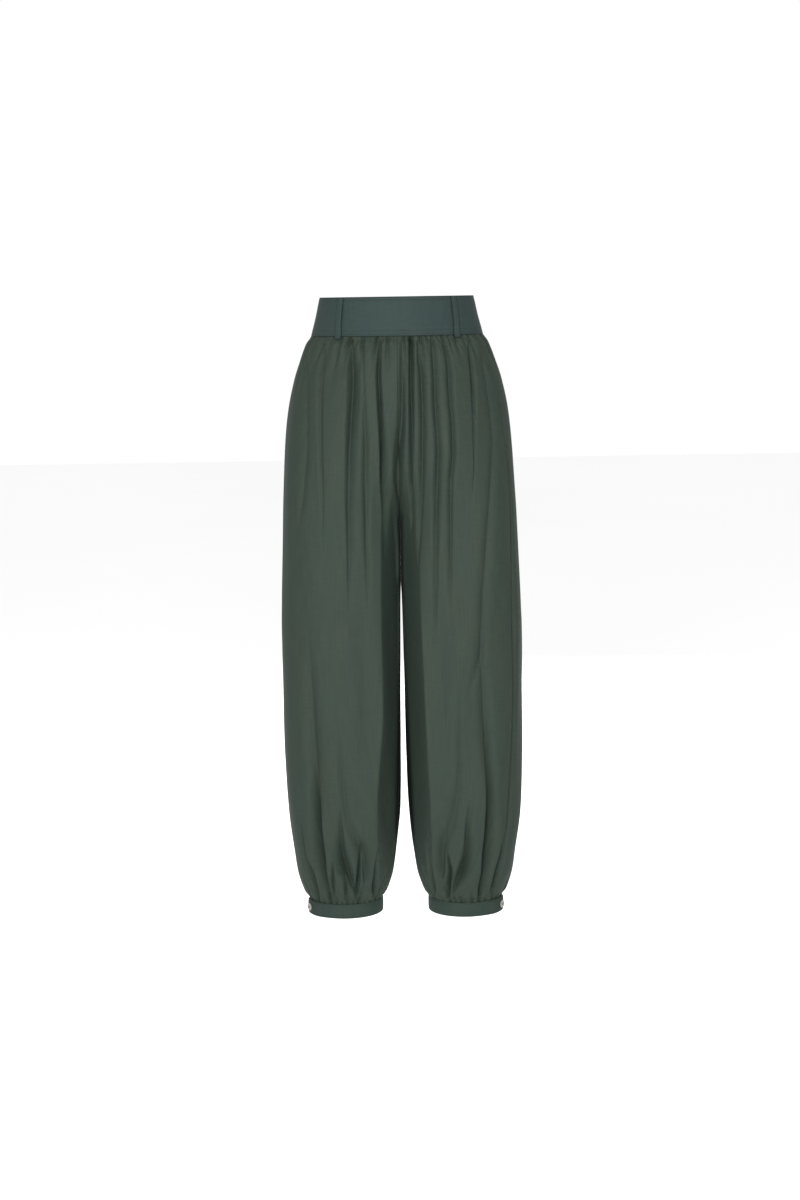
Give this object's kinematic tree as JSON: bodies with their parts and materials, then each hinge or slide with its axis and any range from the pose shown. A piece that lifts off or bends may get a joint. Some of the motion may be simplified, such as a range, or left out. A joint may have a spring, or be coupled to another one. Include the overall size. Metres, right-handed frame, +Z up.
{
  "type": "balloon trousers",
  "caption": "High-waisted balloon trousers, filled out as worn, with a shaped waistband, belt loops, gathered leg panels and buttoned ankle cuffs.",
  "frame": {"origin": "centre of the waist at half the waistband's height, where a wearer's waist holds the garment", "axes": "+Z up along the garment's length, -Y the front, +X the wearer's left"},
  "size_m": [0.387, 0.2388, 1],
  "materials": {
    "leg_cloth": "fluid dark green woven cloth with a soft sheen",
    "band_cloth": "the same dark green cloth, doubled and pressed flat",
    "button": "pale grey polished button"
  },
  "bodies": {
    "root": {"waistband_front": "band_cloth", "waistband_back": "band_cloth", "belt_loop_front_left": "band_cloth", "belt_loop_front_right": "band_cloth", "belt_loop_back_left": "band_cloth", "belt_loop_back_right": "band_cloth", "front_left": "leg_cloth", "front_right": "leg_cloth", "back_left": "leg_cloth", "back_right": "leg_cloth", "cuff_left": "band_cloth", "cuff_right": "band_cloth", "cuff_button_left": "button", "cuff_button_right": "button"}
  },
  "joints": []
}
